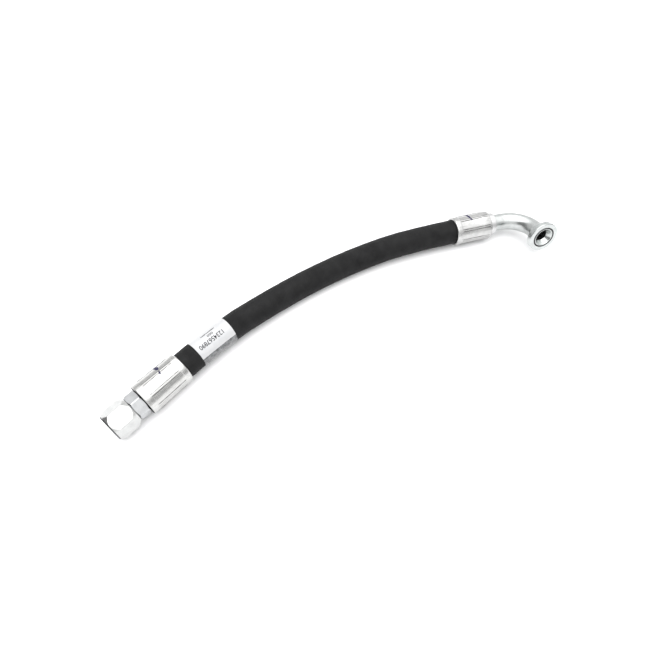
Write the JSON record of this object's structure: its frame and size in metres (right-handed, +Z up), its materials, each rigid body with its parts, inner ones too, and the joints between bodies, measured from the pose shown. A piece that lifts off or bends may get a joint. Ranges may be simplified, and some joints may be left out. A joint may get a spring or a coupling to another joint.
{
  "type": "hydraulic hose assembly",
  "caption": "Short spiral-wire hydraulic hose with crimped ferrules, a swivel-nut fitting at one end and a bent-tube flange fitting at the other.",
  "frame": {"origin": "on the plane that the assembly lies on, below the middle of the box round its two end fittings", "axes": "+Z up; +X from the swivel-nut end towards the flange end; +Y towards the outside of the hose's bow"},
  "size_m": [0.5245, 0.3133, 0.0505],
  "materials": {
    "cover_rubber": "matt black, wrap-textured",
    "tube_rubber": "smooth black",
    "insulation_rubber": "matt black",
    "wire": "brass-coated high-tensile wire",
    "label_film": "white satin label film",
    "clear_film": "clear glossy film",
    "zinc_ferrule": "bright zinc plate, satin",
    "zinc_fitting": "bright zinc plate",
    "zinc_nut": "bright zinc plate",
    "spring_wire": "drawn spring wire",
    "braze": "plated braze",
    "seal_rubber": "black nitrile"
  },
  "bodies": {
    "hose_and_fittings": {"hose_inner_tube": "tube_rubber", "wire_spiral_1": "wire", "insulation_1": "insulation_rubber", "wire_spiral_2": "wire", "insulation_2": "insulation_rubber", "wire_spiral_3": "wire", "insulation_3": "insulation_rubber", "wire_spiral_4": "wire", "hose_cover": "cover_rubber", "hose_label": "label_film", "label_clear_wrap": "clear_film", "ferrule_nut_end": "zinc_ferrule", "insert_nut_end": "zinc_fitting", "ferrule_flange_end": "zinc_ferrule", "insert_flange_end": "zinc_fitting", "braze_ring_collar": "braze", "elbow_tube": "zinc_fitting", "braze_ring_flange": "braze", "flange_head": "zinc_fitting", "flange_o_ring": "seal_rubber"},
    "nut": {"swivel_nut": "zinc_nut", "nut_thrust_wire": "spring_wire"}
  },
  "joints": [
    {"name": "nut_swivel", "type": "hinge", "parent": "hose_and_fittings", "child": "nut", "pos_m": [-0.23518, -0.12858, 0.0192], "axis": [-0.6561, -0.7547, 0], "continuous": true}
  ]
}
